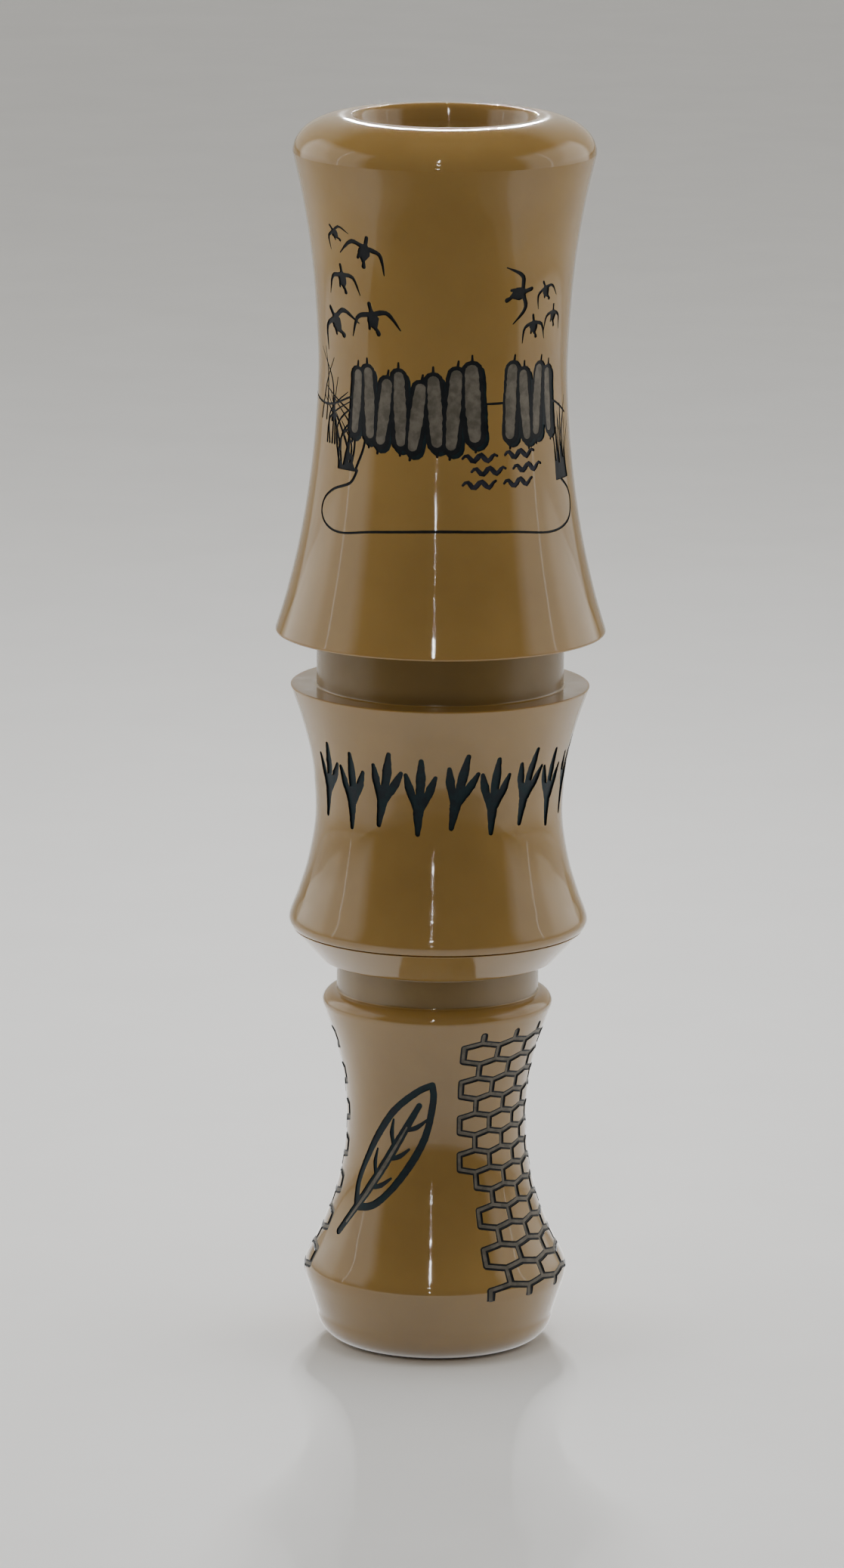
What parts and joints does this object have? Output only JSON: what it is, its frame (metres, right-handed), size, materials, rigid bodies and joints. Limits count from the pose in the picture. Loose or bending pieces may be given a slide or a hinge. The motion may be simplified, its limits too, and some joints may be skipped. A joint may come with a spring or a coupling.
{
  "type": "duck call",
  "caption": "Turned acrylic game call: waisted barrel with a lanyard groove and a pull-out bell insert that holds a reeded tone board.",
  "frame": {"origin": "centre of the bell's flat end face, on the axis of the bore", "axes": "+Z along the bore from the bell up to the mouthpiece; the decorated front and the reed side of the tone board face -Y"},
  "size_m": [0.038, 0.038, 0.1436],
  "materials": {
    "caramel_acrylic": "polished cast acrylic, slightly translucent",
    "tone_board_acrylic": "machined acrylic, satin",
    "nitrile_rubber": "smooth, greased",
    "mylar_film": "smooth translucent film",
    "cork": "fine natural cork, matt"
  },
  "bodies": {
    "insert": {"insert_bell": "caramel_acrylic", "tone_board": "tone_board_acrylic"},
    "o_rings": {"o_ring_rear": "nitrile_rubber", "o_ring_front": "nitrile_rubber"},
    "barrel": {"barrel": "caramel_acrylic"},
    "lower_reed": {"lower_reed": "mylar_film"},
    "upper_reed": {"upper_reed": "mylar_film"},
    "wedge": {"reed_wedge": "cork"}
  },
  "joints": [
    {"name": "barrel_twist", "type": "hinge", "parent": "insert", "child": "o_rings", "pos_m": [0, 0, 0.0545], "axis": [0, 0, 1], "continuous": true},
    {"name": "barrel_pull", "type": "slide", "parent": "o_rings", "child": "barrel", "axis": [0, 0, 1], "range_m": [0, 0.07]},
    {"name": "lower_reed_flex", "type": "hinge", "parent": "insert", "child": "lower_reed", "pos_m": [0, -0.003, 0.084], "axis": [-1, 0, 0], "range_deg": [0, 3.6], "stiffness_Nm_per_rad": 0.023, "deforming": ["lower_reed"]},
    {"name": "upper_reed_flex", "type": "hinge", "parent": "insert", "child": "upper_reed", "pos_m": [0, -0.0034, 0.084], "axis": [-1, 0, 0], "range_deg": [0, 3.6], "stiffness_Nm_per_rad": 0.01, "deforming": ["upper_reed"]},
    {"name": "wedge_pull", "type": "slide", "parent": "insert", "child": "wedge", "axis": [0, 0, 1], "range_m": [0, 0.012]}
  ],
  "couplings": [
    {"joint": "upper_reed_flex", "follows": "lower_reed_flex", "ratio": 1}
  ]
}
